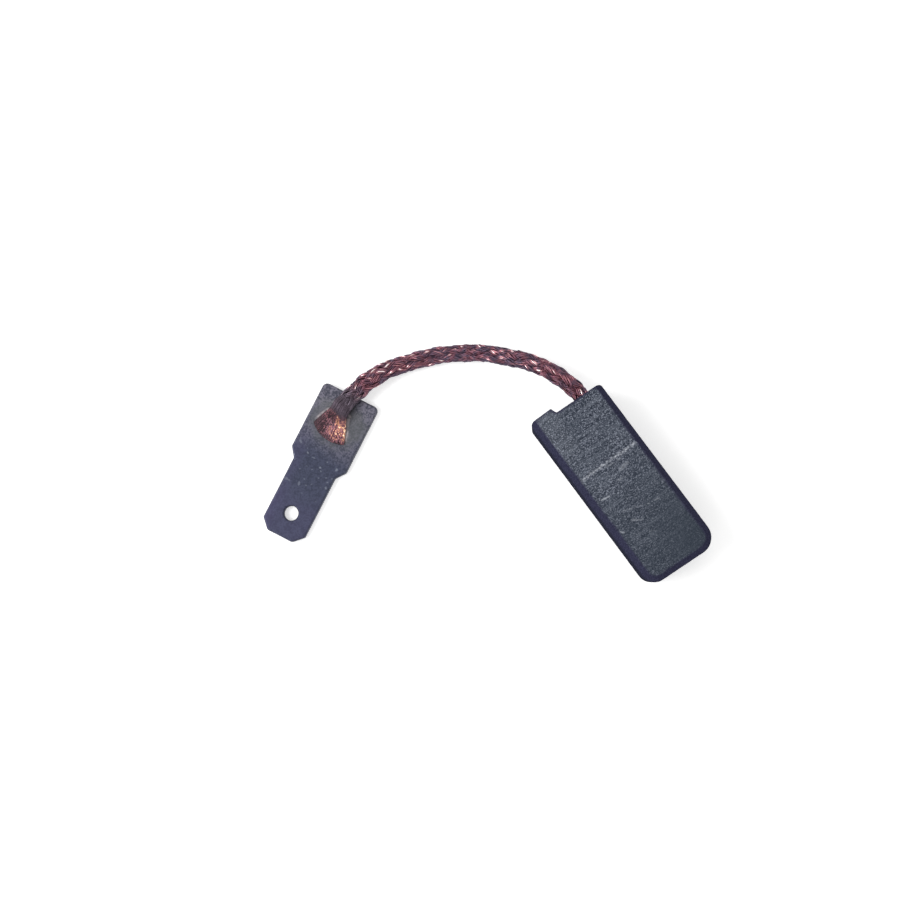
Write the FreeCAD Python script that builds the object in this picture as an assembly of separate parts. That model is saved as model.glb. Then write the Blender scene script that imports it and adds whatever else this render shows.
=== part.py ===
import FreeCAD, Part
import math
import os

# A carbon brush: a block of electrographite with a concave running face, a copper braid tamped
# into its head, and a stamped push-on tab welded to the braid's flattened end.
# The block lies on one wide face, as the brush comes to rest on a table. Sizes in millimetres.
# The origin is at the middle of the block's under side, +Y runs to the head, where the braid
# leaves, +X to the braid's side of the head, and +Z up.

# Carbon block, a standard size: thickness x width x length.
block_thickness = 6.3
block_width = 8.0
block_length = 20.1
edge_chamfer = 0.6
contact_corner_radius = 1.8         # on the +X side
far_corner_radius = 1.45            # on the -X side
contact_slant = 2.5                 # degrees, the running face is bedded a little off square
commutator_radius = 15.0            # the ring that the running face is hollowed to

# Head of the block: a raised seat for the spring, then a milled floor where the braid enters.
seat_width = 2.55
seat_height = 0.65
seat_ramp = 0.25
seat_corner_radius = 0.15
seat_foot_radius = 0.2
head_slope = 2.0                    # degrees, the floor falls away from the seat
head_corner_radius = 0.5

# Wear mark: a shallow scribed line on the upper wide face, just past the end of the bore.
wear_mark_from_seat = 7.55
wear_mark_width = 0.2
wear_mark_depth = 0.1
wear_mark_turn = -1.2               # degrees
wear_mark_margin = 0.1              # between the line's ends and the chamfers

# Bore for the braid, drilled in from the head.
bore_from_edge = 2.05               # from the block's +X side to the bore's axis
bore_diameter = 2.4
bore_depth = 6.4
drill_point = 118.0                 # degrees
bore_mouth_chamfer = 0.15

# Tamped copper powder round the braid's end in the bore.
tamp_clearance = 0.01
tamp_recess = 0.3                   # below the head's floor
tamp_bed = 0.7                      # powder between the bottom of the bore and the braid

# Braided shunt, a limp bare copper braid.
braid_diameter = 1.75
braid_lift = 0.025                  # between the braid's under side and what it lies on
exit_run = 4.8                      # from the head's floor to the first bend's corner
neck_run = 3.85                     # the last straight run, over the tab's upper edge
arc_share = 0.45                    # an arc's reach, as a share of the shorter run beside it

# Push-on tab, a standard size: a blade with a hole, and a wider plate that carries the weld.
tab_thickness = 0.8
blade_width = 4.8
tip_width = 2.8
tip_length = 1.0
tip_to_hole = 2.6
hole_diameter = 1.5
hole_to_shoulder = 5.2
shoulder_height = 1.0
plate_width = 6.3
hole_to_plate_end = 13.65
plate_corner_radius = 0.55
shoulder_radius = 0.35
tip_corner_radius = 0.3
edge_break = 0.1
tab_x = -28.78                      # the hole's place on the table
tab_y = 17.72
tab_heading = 26.8                  # degrees from +X, the way from the tip to the plate

# Welded end of the braid: its wires pressed flat into a fluted fan and sheared to a curved end.
neck_along = 12.2                   # from the hole, towards the plate's end
neck_across = -0.2
neck_swing = 17.4                   # degrees between the last run and the tab's axis
fan_length = 4.4
fan_width = 4.5                     # at the fan's full length, before it is sheared
fan_thickness = 0.5
fan_drift = -0.2                    # how far the fan's axis moves across the tab
fan_flutes = 7
flute_depth = 0.09
fan_sink = 0.1                      # how far the lofted fan runs below the tab before it is cut level
shear_radius = 3.3
shear_along = 11.65
shear_across = 0.2

half_width = block_width / 2
half_thickness = block_thickness / 2
seat_y = block_length / 2
foot_x = -half_width + seat_width + seat_ramp
bore_x = half_width - bore_from_edge
braid_radius = braid_diameter / 2
slant = math.radians(contact_slant)
past = 2.0                          # how far a cutting tool runs past the piece


def vector(x, y, z=0.0):
    return FreeCAD.Vector(x, y, z)


def arc_at(before, corner, after, radius):
    """Start, middle and end of the arc that rounds a corner."""
    back = (before - corner).normalize()
    onward = (after - corner).normalize()
    half_angle = back.getAngle(onward) / 2
    reach = radius / math.tan(half_angle)
    middle = corner + (back + onward).normalize() * radius * (1 / math.sin(half_angle) - 1)
    return corner + back * reach, middle, corner + onward * reach


def add_line(edges, start, end):
    if (end - start).Length > 1e-6:
        edges.append(Part.LineSegment(start, end).toShape())


def rounded_prism(corners, height, base=0.0):
    """Prism on an outline of (x, y, radius) corners, each rounded by its own radius."""
    points = [vector(x, y, base) for x, y, radius in corners]
    stretches = []
    for i, (x, y, radius) in enumerate(corners):
        after = points[(i + 1) % len(points)]
        if radius:
            stretches.append(arc_at(points[i - 1], points[i], after, radius))
        else:
            stretches.append((points[i], points[i], points[i]))
    edges = []
    for i, (start, middle, end) in enumerate(stretches):
        if (end - start).Length > 1e-6:
            edges.append(Part.Arc(start, middle, end).toShape())
        add_line(edges, end, stretches[(i + 1) % len(stretches)][0])
    return Part.Face(Part.Wire(edges)).extrude(vector(0, 0, height))


def flat_edges(solid, levels):
    """Edges that lie level at one of the given heights."""
    found = []
    for edge in solid.Edges:
        box = edge.BoundBox
        if box.ZLength < 1e-6 and any(abs(box.ZMin - level) < 1e-6 for level in levels):
            found.append(edge)
    return found


def contact_y(x):
    """The slanted running face's line, laid so that the block's far corner ends its length."""
    corner_x = half_width - contact_corner_radius
    drop = contact_corner_radius / math.cos(slant)
    return -block_length / 2 + contact_corner_radius - drop - (x - corner_x) * math.tan(slant)


def floor_y(x):
    """The head's milled floor, from the foot of the seat to the block's +X side."""
    return seat_y - seat_height - (x - foot_x) * math.tan(math.radians(head_slope))


def pressed_blank():
    """The pressed block with chamfered long edges and running end, left long at the head."""
    blank_y = seat_y + past
    blank = rounded_prism([
        (half_width, contact_y(half_width), contact_corner_radius),
        (half_width, blank_y, 0),
        (-half_width, blank_y, 0),
        (-half_width, contact_y(-half_width), far_corner_radius),
    ], block_thickness)
    rims = [edge for edge in flat_edges(blank, (0, block_thickness)) if edge.BoundBox.YMin < blank_y - 1e-6]
    return blank.makeChamfer(edge_chamfer, rims)


def head_cutter():
    """What is milled off the head: it leaves the seat, its ramp and the sloping floor."""
    side_x = half_width + past
    return rounded_prism([
        (side_x, floor_y(side_x), 0),
        (side_x, seat_y + 2 * past, 0),
        (-side_x, seat_y + 2 * past, 0),
        (-side_x, seat_y - head_corner_radius, 0),
        (-half_width, seat_y - head_corner_radius, 0),
        (-half_width, seat_y, head_corner_radius),
        (foot_x - seat_ramp, seat_y, seat_corner_radius),
        (foot_x, floor_y(foot_x), seat_foot_radius),
    ], block_thickness + 2 * past, -past)


def commutator():
    """The ring that hollows the running face between its two chamfers."""
    half_chord = half_thickness - edge_chamfer
    stand_off = math.sqrt(commutator_radius ** 2 - half_chord ** 2)
    along = vector(math.cos(slant), -math.sin(slant))
    outward = vector(-math.sin(slant), -math.cos(slant))
    middle = vector(0, contact_y(0), half_thickness) + outward * stand_off
    return Part.makeCylinder(commutator_radius, 2 * block_width, middle - along * block_width, along)


def bore(clearance=0.0):
    """The drilled hole with its pointed bottom, or the plug that fills it with a clearance."""
    radius = bore_diameter / 2 - clearance
    bottom = floor_y(bore_x) - bore_depth
    point = radius / math.tan(math.radians(drill_point / 2))
    toward_head = vector(0, 1, 0)
    hole = Part.makeCylinder(radius, bore_depth + past, vector(bore_x, bottom, half_thickness), toward_head)
    tip = Part.makeCone(0, radius, point, vector(bore_x, bottom - point, half_thickness), toward_head)
    return hole.fuse(tip)


def bore_mouth():
    """Cone that breaks the bore's edge at the head's floor."""
    wide = bore_diameter / 2 + bore_mouth_chamfer + past
    deep = wide - bore_diameter / 2
    start = vector(bore_x, floor_y(bore_x) - bore_mouth_chamfer, half_thickness)
    return Part.makeCone(bore_diameter / 2, wide, deep, start, vector(0, 1, 0))


def wear_mark():
    """Shallow V across the flat of the upper wide face."""
    half = half_width - edge_chamfer - wear_mark_margin
    lift = wear_mark_depth
    profile = Part.makePolygon([
        vector(-half, 0, -wear_mark_depth),
        vector(-half, wear_mark_width, lift),
        vector(-half, -wear_mark_width, lift),
        vector(-half, 0, -wear_mark_depth),
    ])
    groove = Part.Face(profile).extrude(vector(2 * half, 0, 0))
    groove.Placement = FreeCAD.Placement(
        vector(0, seat_y - wear_mark_from_seat, block_thickness),
        FreeCAD.Rotation(vector(0, 0, 1), wear_mark_turn))
    return groove


def carbon_block():
    block = pressed_blank().cut(head_cutter())
    block = block.cut(commutator())
    block = block.cut(bore_mouth())
    block = block.cut(bore())
    return block.cut(wear_mark()).removeSplitter()


def tamped_fill():
    """Copper powder rammed round the braid's end, a little below the head's floor."""
    top = floor_y(bore_x) - tamp_recess
    plug = bore(tamp_clearance)
    above = Part.makeBox(bore_diameter, 2 * past, bore_diameter,
                         vector(bore_x - bore_diameter / 2, top, half_thickness - bore_diameter / 2))
    braid_end = Part.makeCylinder(braid_radius + tamp_clearance, block_length,
                                  vector(bore_x, braid_start_y() - tamp_clearance, half_thickness), vector(0, 1, 0))
    return plug.cut(above).cut(braid_end)


def on_table(solid):
    """Moves a solid from the tab's own frame (hole at the origin, plate towards +Y) to its place."""
    solid.Placement = FreeCAD.Placement(
        vector(tab_x, tab_y), FreeCAD.Rotation(vector(0, 0, 1), tab_heading - 90)).multiply(solid.Placement)
    return solid


def tab_point(across, along, z):
    """A point of the tab's own frame, in the part's frame."""
    turn = FreeCAD.Rotation(vector(0, 0, 1), tab_heading - 90)
    return turn.multVec(vector(across, along, z)) + vector(tab_x, tab_y)


def braid_start_y():
    return floor_y(bore_x) - bore_depth + tamp_bed


def shunt_route():
    """Corners of the braid's route: out of the bore, down to the table, and up onto the tab."""
    table_z = braid_radius + braid_lift
    plate_z = tab_thickness + braid_radius + braid_lift
    swing = math.radians(neck_swing)
    lead_across = neck_across + neck_run * math.sin(swing)
    lead_along = neck_along + neck_run * math.cos(swing)
    return [
        vector(bore_x, braid_start_y(), half_thickness),
        vector(bore_x, floor_y(bore_x) + exit_run, half_thickness),
        vector(-5.2, 21.25, table_z),
        vector(-10.3, 23.45, table_z + 0.05),
        tab_point(lead_across, lead_along, plate_z),
        tab_point(neck_across, neck_along, plate_z),
    ]


def route_arcs(route):
    """Each bend's arc, as large as its two runs allow, and its radius."""
    arcs = []
    for before, corner, after in zip(route, route[1:], route[2:]):
        reach = arc_share * min((before - corner).Length, (after - corner).Length)
        half_turn = (math.pi - (before - corner).getAngle(after - corner)) / 2
        radius = reach / math.tan(half_turn)
        arcs.append((radius, arc_at(before, corner, after, radius)))
    return arcs


def shunt_braid():
    """Plain tube along straight runs joined by tangent arcs."""
    route = shunt_route()
    arcs = route_arcs(route)
    print("bend radii of the braid:", [round(radius, 2) for radius, arc in arcs])
    edges = []
    here = route[0]
    for radius, (start, middle, end) in arcs:
        add_line(edges, here, start)
        edges.append(Part.Arc(start, middle, end).toShape())
        here = end
    add_line(edges, here, route[-1])
    path = Part.Wire(edges)
    section = Part.Wire(Part.makeCircle(braid_radius, route[0], route[1] - route[0]))
    tube = path.makePipeShell([section], True, False)
    print("braid: length", round(path.Length, 2), "volume", round(tube.Volume, 3),
          "section x length", round(math.pi * braid_radius ** 2 * path.Length, 3))
    return tube


def section_wire(rim, middles, place):
    """Closed wire of arcs: rim points in order, with the middle of the arc that follows each."""
    edges = []
    for i, middle in enumerate(middles):
        start = place(rim[i])
        end = place(rim[(i + 1) % len(rim)])
        edges.append(Part.Arc(start, place(middle), end).toShape())
    return Part.Wire(edges)


def round_section():
    """Rim of the braid's round neck, cut into as many arcs as the fan has flutes, sides and base."""
    centre_z = braid_radius + braid_lift
    low, high = math.radians(250), math.radians(175)
    step = math.radians(170) / fan_flutes
    angles = [low] + [high - i * step for i in range(fan_flutes + 1)] + [math.radians(-70)]

    def at(angle):
        return (braid_radius * math.cos(angle), centre_z + braid_radius * math.sin(angle))

    following = angles[1:] + [low - 2 * math.pi]
    rim = [at(angle) for angle in angles]
    middles = [at((a + b) / 2) for a, b in zip(angles, following)]
    return rim, middles


def flat_section(width, thickness, depth):
    """Rim of the pressed fan: a level base, round sides and a fluted, slightly crowned top."""
    half = width / 2
    pitch = (width - thickness) / fan_flutes

    def crown(x):
        return thickness * (1 - 0.25 * (x / half) ** 2)

    valleys = []
    ridges = []
    for i in range(fan_flutes + 1):
        x = -half + thickness / 2 + i * pitch
        valleys.append((x, crown(x) - depth))
    for i in range(fan_flutes):
        x = -half + thickness / 2 + (i + 0.5) * pitch
        ridges.append((x, crown(x)))
    base = -fan_sink
    rim = [(-half + 0.3 * thickness, base)] + valleys + [(half - 0.3 * thickness, base)]
    side = (valleys[0][1] + base) / 2
    middles = [(-half, side)] + ridges + [(half, side), (0, base - 0.02)]
    return rim, middles


def fan_sections():
    """Sections from the round neck to the wide flat end, each turned a little more onto the tab's axis."""
    wires = []
    steps = 5
    for i in range(steps + 1):
        share = i / steps
        ease = share * share * (3 - 2 * share)
        swing = math.radians(neck_swing * (1 - share))
        across = neck_across + fan_drift * share
        along = neck_along - fan_length * share

        def place(point, swing=swing, across=across, along=along):
            x, z = point
            return vector(across + x * math.cos(swing), along - x * math.sin(swing), tab_thickness + z)

        if i == 0:
            rim, middles = round_section()
        else:
            width = braid_diameter + (fan_width - braid_diameter) * (0.35 * ease + 0.65 * share)
            press = min(1.0, share * 1.6)
            thickness = braid_diameter + (fan_thickness - braid_diameter) * press * (2 - press)
            rim, middles = flat_section(width, thickness, flute_depth * press)
        wires.append(section_wire(rim, middles, place))
    return wires


def welded_end():
    """The braid's end, pressed into a fan on the tab, cut level below and sheared to a curve."""
    fan = Part.makeLoft(fan_sections(), True, False)
    reach = fan_length + block_width
    above_tab = Part.makeBox(2 * reach, 2 * reach, reach, vector(-reach, neck_along - reach, tab_thickness))
    sheared = Part.makeCylinder(shear_radius, reach, vector(shear_across, shear_along, 0))
    return on_table(fan.common(above_tab).common(sheared))


def terminal_tab():
    """Stamped tab: chamfered tip, blade, sloping shoulders and a wider plate, all edges broken."""
    half_blade = blade_width / 2
    half_plate = plate_width / 2
    half_tip = tip_width / 2
    tip_y = -tip_to_hole
    right_side = [
        (half_tip, tip_y, tip_corner_radius),
        (half_blade, tip_y + tip_length, tip_corner_radius),
        (half_blade, hole_to_shoulder, shoulder_radius),
        (half_plate, hole_to_shoulder + shoulder_height, shoulder_radius),
        (half_plate, hole_to_plate_end, plate_corner_radius),
    ]
    left_side = [(-x, y, radius) for x, y, radius in reversed(right_side)]
    blank = rounded_prism(right_side + left_side, tab_thickness)
    blank = blank.cut(Part.makeCylinder(hole_diameter / 2, tab_thickness + 2 * past, vector(0, 0, -past)))
    return on_table(blank.makeChamfer(edge_break, flat_edges(blank, (0, tab_thickness))))


NODES = {
    "carbon_block": carbon_block,
    "tamped_fill": tamped_fill,
    "shunt_braid": shunt_braid,
    "welded_end": welded_end,
    "terminal_tab": terminal_tab,
}


def main():
    os.makedirs("parts", exist_ok=True)
    for name, make in NODES.items():
        shape = make()
        shape.exportStep(os.path.join("parts", name + ".step"))
        print(name, "solids", len(shape.Solids), "valid", shape.isValid(), "volume", round(shape.Volume, 3))


main()
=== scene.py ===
import math

import bpy
import numpy as np
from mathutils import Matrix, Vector, noise


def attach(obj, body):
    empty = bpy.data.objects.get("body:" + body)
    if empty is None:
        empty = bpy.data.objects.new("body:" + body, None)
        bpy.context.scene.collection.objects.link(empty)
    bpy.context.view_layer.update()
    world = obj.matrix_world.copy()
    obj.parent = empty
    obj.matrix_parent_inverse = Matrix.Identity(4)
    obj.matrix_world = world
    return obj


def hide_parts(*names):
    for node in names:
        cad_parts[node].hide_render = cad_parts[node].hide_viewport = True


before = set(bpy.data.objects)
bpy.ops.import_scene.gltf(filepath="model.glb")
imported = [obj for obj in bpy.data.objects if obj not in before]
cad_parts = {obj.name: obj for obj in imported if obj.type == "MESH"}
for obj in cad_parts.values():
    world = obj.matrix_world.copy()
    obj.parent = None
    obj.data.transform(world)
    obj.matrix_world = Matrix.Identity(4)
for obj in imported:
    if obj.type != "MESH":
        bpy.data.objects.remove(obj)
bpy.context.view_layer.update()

MM = 0.001
rng = np.random.default_rng(41)

# Camera, in mm: it looks almost straight down on the table, turned by 36 degrees.
camera_place = (-11.957, -2.998, 150.0)
camera_turn = (0.08814, 0.06337, -0.63125)
picture_width = 900
focal_pixels = 1467.9
film_width = 36.0

# The braid's route in metres: up out of the bore, down to the table and up onto the tab.
braid_route = [
    (0.00195, 0.003588, 0.00315),
    (0.00245, 0.00919, 0.0032),
    (0.00058, 0.01498, 0.0031),
    (-0.00446, 0.02064, 0.00092),
    (-0.01055, 0.02343, 0.00097),
    (-0.01477, 0.02409, 0.0017),
    (-0.017981, 0.0234, 0.0017),
]

# Twelve bundles of fine wire, six each way round, over one and under one, in mm.
bundles_each_way = 6
lead = 12.0
bundle_radius = 0.7
bundle_swing = 0.1
bundle_crown = 0.085
upper_wires = 5
under_wires = 3
wire_pitch = 0.118
wire_radius = 0.062
wire_layer = 0.058
wire_sides = 5
core_radius = 0.62
core_sides = 14
bore_length = 5.0
bore_samples = 14
free_samples = 164

# Where the braid nears the weld it swells, tightens and is burnt: how much wider it gets, and
# the distances before its end at which each starts and is full, in mm.
swell_share = 0.12
swell_reach = (7.0, 2.5)
tighten_reach = (3.0, 0.0)
scorch_reach = (3.2, 0.8)

# Fine wires that stray out of the braid, and more that lie loose on it, in mm.
stray_wires = 18
loose_wires = 70
hair_radius = 0.045
hair_sides = 4
hair_samples = 14
hair_lowest = 0.06

# The tab's own frame, in mm: the hole is its origin and its axis points from tip to plate.
tab_x = -28.78
tab_y = 17.72
tab_heading = math.radians(26.8)
tab_thickness = 0.8
plate_end = 13.65

# The braid's welded end on the tab, in mm.
neck_along = 12.2
neck_across = -0.2
neck_swing = math.radians(17.4)
neck_radius = 0.875
neck_spread = 1.1
neck_lift = 0.025
fan_length = 4.4
fan_width = 4.5
fan_thickness = 0.5
fan_drift = -0.2
fan_middle = 10.4
fan_belly = 0.45
fan_squareness = 0.45
fan_crown = 0.25
shear_radius = 3.3
shear_along = 11.65
shear_across = 0.2

# The fan's wires, in mm and degrees round its section, and the solid body just under them.
fan_wires = 64
fan_wire_height = 0.052
fan_wire_sides = 6
fan_wire_samples = 34
fan_wires_from = -22
fan_wires_sweep = 224
fan_body_sides = 64
fan_body_steps = 40
fan_body_inset = 0.035
fan_sunk = 0.02

# The block, and the marks on its upper wide face, in mm. The wear mark runs out at both ends
# between two distances from the middle. A scratch has two ends, a width and a strength.
block_half_width = 4.0
block_head = 9.2
block_top = 6.3
head_wear = 0.35
wear_mark_y = 2.505
wear_mark_slope = -0.02
wear_mark_ends = (3.2, 3.4)
wear_mark_depth = 0.03
block_scratches = [
    ((-2.79, -0.12), (-1.95, -0.27), 0.09, 0.6),
    ((-1.76, -2.2), (0.77, -3.09), 0.08, 0.25),
    ((0.2, -2.9), (0.77, -3.09), 0.09, 0.5),
    ((-3.32, -3.56), (-2.93, -3.93), 0.1, 0.4),
    ((-0.26, 0.46), (0.58, 0.44), 0.16, 0.22),
    ((1.38, -3.18), (2.05, -3.25), 0.09, 0.3),
    ((-1.58, -3.42), (-0.74, -3.91), 0.18, 0.22),
    ((-0.85, -5.34), (-0.4, -5.55), 0.1, 0.35),
    ((-0.63, 2.2), (0.99, 2.1), 0.09, 0.25),
    ((0.5, 1.2), (1.4, 1.35), 0.25, 0.2),
]

# The table in mm, and how much of the surround's white is real light and how much only seen.
table_half = 1500.0
table_gap = 0.02
table_glow = 0.48
surround_light = 0.62
surround_glow = 0.38


def smooth_step(low, high, value):
    """0 below low, 1 above high, and an even curve between them."""
    t = np.clip((np.asarray(value, float) - low) / (high - low), 0, 1)
    return t * t * (3 - 2 * t)


def grain(points, size, octaves=1, seed=0.0):
    """Smooth noise from about -1 to 1 at points in mm, with bumps of the given size."""
    total = np.zeros(len(points))
    weight = 1.0
    for octave in range(octaves):
        scaled = points * (2 ** octave / size) + seed + 17.3 * octave
        total += weight * np.array([noise.noise(Vector(p)) for p in scaled])
        weight *= 0.55
    return total


def wander(s, slow, fast):
    """Wave from -1 to 1 along s, with a random start and a random pace from slow to fast."""
    return np.sin(s * rng.uniform(slow, fast) + rng.uniform(0, 6.3))


def tab_point(across, along, z):
    """Point of the tab's own frame, in the shared frame, in mm."""
    heading_x, heading_y = math.cos(tab_heading), math.sin(tab_heading)
    x = tab_x + along * heading_x + across * heading_y
    y = tab_y + along * heading_y - across * heading_x
    return np.stack(np.broadcast_arrays(x, y, z), -1)


def in_tab_frame(points):
    """Distances across and along the tab of points in the shared frame, in mm."""
    heading_x, heading_y = math.cos(tab_heading), math.sin(tab_heading)
    dx = points[:, 0] - tab_x
    dy = points[:, 1] - tab_y
    return dx * heading_y - dy * heading_x, dx * heading_x + dy * heading_y


def new_piece(name, points, faces, material, slot, *nodes):
    """Mesh piece from points in mm, riding on the part and standing for its CAD nodes."""
    mesh = bpy.data.meshes.new(name)
    mesh.from_pydata((np.asarray(points) * MM).tolist(), [], faces)
    mesh.shade_smooth()
    mesh.materials.append(material)
    piece = bpy.data.objects.new(name, mesh)
    bpy.context.collection.objects.link(piece)
    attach(piece, "root")
    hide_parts(*nodes)
    return piece


def paint(piece, **marks):
    """Stores one number per vertex under each name, for the materials to read."""
    for name, values in marks.items():
        layer = piece.data.attributes.new(name, "FLOAT", "POINT")
        layer.data.foreach_set("value", np.asarray(values, np.float32))


def evenly_meshed(node, depth):
    """Points, faces, normals and edges of a CAD node, in mm.

    The node is remeshed to small even faces that keep its edges.
    """
    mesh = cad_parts[node].data.copy()
    places = np.empty(len(mesh.vertices) * 3, np.float32)
    mesh.vertices.foreach_get("co", places)
    mesh.vertices.foreach_set("co", places / MM)
    holder = bpy.data.objects.new(node + "_even", mesh)
    bpy.context.collection.objects.link(holder)
    weld = holder.modifiers.new("weld", "WELD")
    weld.merge_threshold = 0.001
    even = holder.modifiers.new("even", "REMESH")
    even.mode = "SHARP"
    even.octree_depth = depth
    even.use_remove_disconnected = False
    even.use_smooth_shade = True
    graph = bpy.context.evaluated_depsgraph_get()
    made = bpy.data.meshes.new_from_object(holder.evaluated_get(graph))
    points = np.empty(len(made.vertices) * 3, np.float32)
    made.vertices.foreach_get("co", points)
    normals = np.empty(len(made.vertices) * 3, np.float32)
    made.vertices.foreach_get("normal", normals)
    edges = np.empty(len(made.edges) * 2, np.int32)
    made.edges.foreach_get("vertices", edges)
    faces = [tuple(face.vertices) for face in made.polygons]
    bpy.data.objects.remove(holder)
    points = points.reshape(-1, 3).astype(float)
    return points, faces, normals.reshape(-1, 3).astype(float), edges.reshape(-1, 2)


def averaged(values, edges, times):
    """Values of each vertex, averaged with its neighbours a number of times."""
    values = np.array(values, float)
    count = np.ones(len(values))
    np.add.at(count, edges.ravel(), 1)
    for _ in range(times):
        total = values.copy()
        np.add.at(total, edges[:, 0], values[edges[:, 1]])
        np.add.at(total, edges[:, 1], values[edges[:, 0]])
        values = (total.T / count).T
    return values


def edge_sharpness(points, rounded, normals, edges):
    """How far each vertex stands out from its rounded place, in mm: positive on convex edges."""
    return averaged(np.einsum("ij,ij->i", points - rounded, normals), edges, 2)


def strands(paths, outward, half_width, half_height, sides, **marks):
    """Points, faces and marks of tubes along many paths at once, in mm.

    Paths and outward are wires x samples x 3. A width, height or mark has one value for each
    wire and sample, or one that several of them share.
    """
    paths = np.asarray(paths, float)
    wires, samples = paths.shape[:2]
    tangent = np.gradient(paths, axis=1)
    tangent /= np.linalg.norm(tangent, axis=2, keepdims=True)
    up = outward - (outward * tangent).sum(2, keepdims=True) * tangent
    up /= np.linalg.norm(up, axis=2, keepdims=True)
    side = np.cross(tangent, up)
    wide = np.broadcast_to(half_width, (wires, samples))[..., None, None]
    high = np.broadcast_to(half_height, (wires, samples))[..., None, None]
    turns = np.arange(sides) * 2 * math.pi / sides + math.pi / 2
    ring = np.cos(turns)[:, None] * wide * side[:, :, None]
    ring = ring + np.sin(turns)[:, None] * high * up[:, :, None]
    points = (paths[:, :, None] + ring).reshape(-1, 3)
    start = (np.arange(wires)[:, None] * samples + np.arange(samples - 1)).reshape(-1, 1) * sides
    here = np.arange(sides)
    after = (here + 1) % sides
    quads = np.stack([start + here, start + after, start + after + sides, start + here + sides], -1)
    faces = [tuple(quad) for quad in quads.reshape(-1, 4).tolist()]
    for wire in range(wires):
        first = wire * samples * sides
        last = first + (samples - 1) * sides
        faces.append(tuple(first + i for i in reversed(range(sides))))
        faces.append(tuple(last + i for i in range(sides)))
    marks = {
        name: np.repeat(np.broadcast_to(values, (wires, samples)).reshape(-1), sides)
        for name, values in marks.items()
    }
    return points, faces, marks


def joined(*parts):
    """One mesh from several, each with its points, faces and marks."""
    starts = np.cumsum([0] + [len(points) for points, _, _ in parts]).tolist()
    faces = [
        tuple(i + start for i in face)
        for start, (_, part_faces, _) in zip(starts, parts) for face in part_faces
    ]
    marks = {
        name: np.concatenate([part_marks[name] for _, _, part_marks in parts])
        for name in parts[0][2]
    }
    return np.concatenate([points for points, _, _ in parts]), faces, marks


def srgb(code):
    """Linear colour of an sRGB hex value."""
    channels = [int(code[i:i + 2], 16) / 255 for i in (1, 3, 5)]
    return [c / 12.92 if c <= 0.04045 else ((c + 0.055) / 1.055) ** 2.4 for c in channels] + [1.0]


# Sockets of a Mix node that blends two colours: its three inputs, and its output.
FACTOR, FIRST, SECOND = 0, 6, 7
MIXED = 2


def add(tree, kind, inputs=(), **settings):
    """Adds a shader node with its settings.

    Each input gets a value, or a link from the socket that feeds it.
    """
    made = tree.nodes.new("ShaderNode" + kind)
    for name, value in settings.items():
        setattr(made, name, value)
    for name, value in dict(inputs).items():
        if isinstance(value, bpy.types.NodeSocket):
            tree.links.new(value, made.inputs[name])
        else:
            made.inputs[name].default_value = value
    return made


def new_material(name):
    """Empty node material, its tree and the object's own coordinates in millimetres."""
    material = bpy.data.materials.new(name)
    material.use_nodes = True
    tree = material.node_tree
    tree.nodes.clear()
    place = add(tree, "TexCoord").outputs["Object"]
    place = add(tree, "VectorMath", {0: place, 3: 1 / MM}, operation="SCALE").outputs["Vector"]
    return material, tree, place


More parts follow.
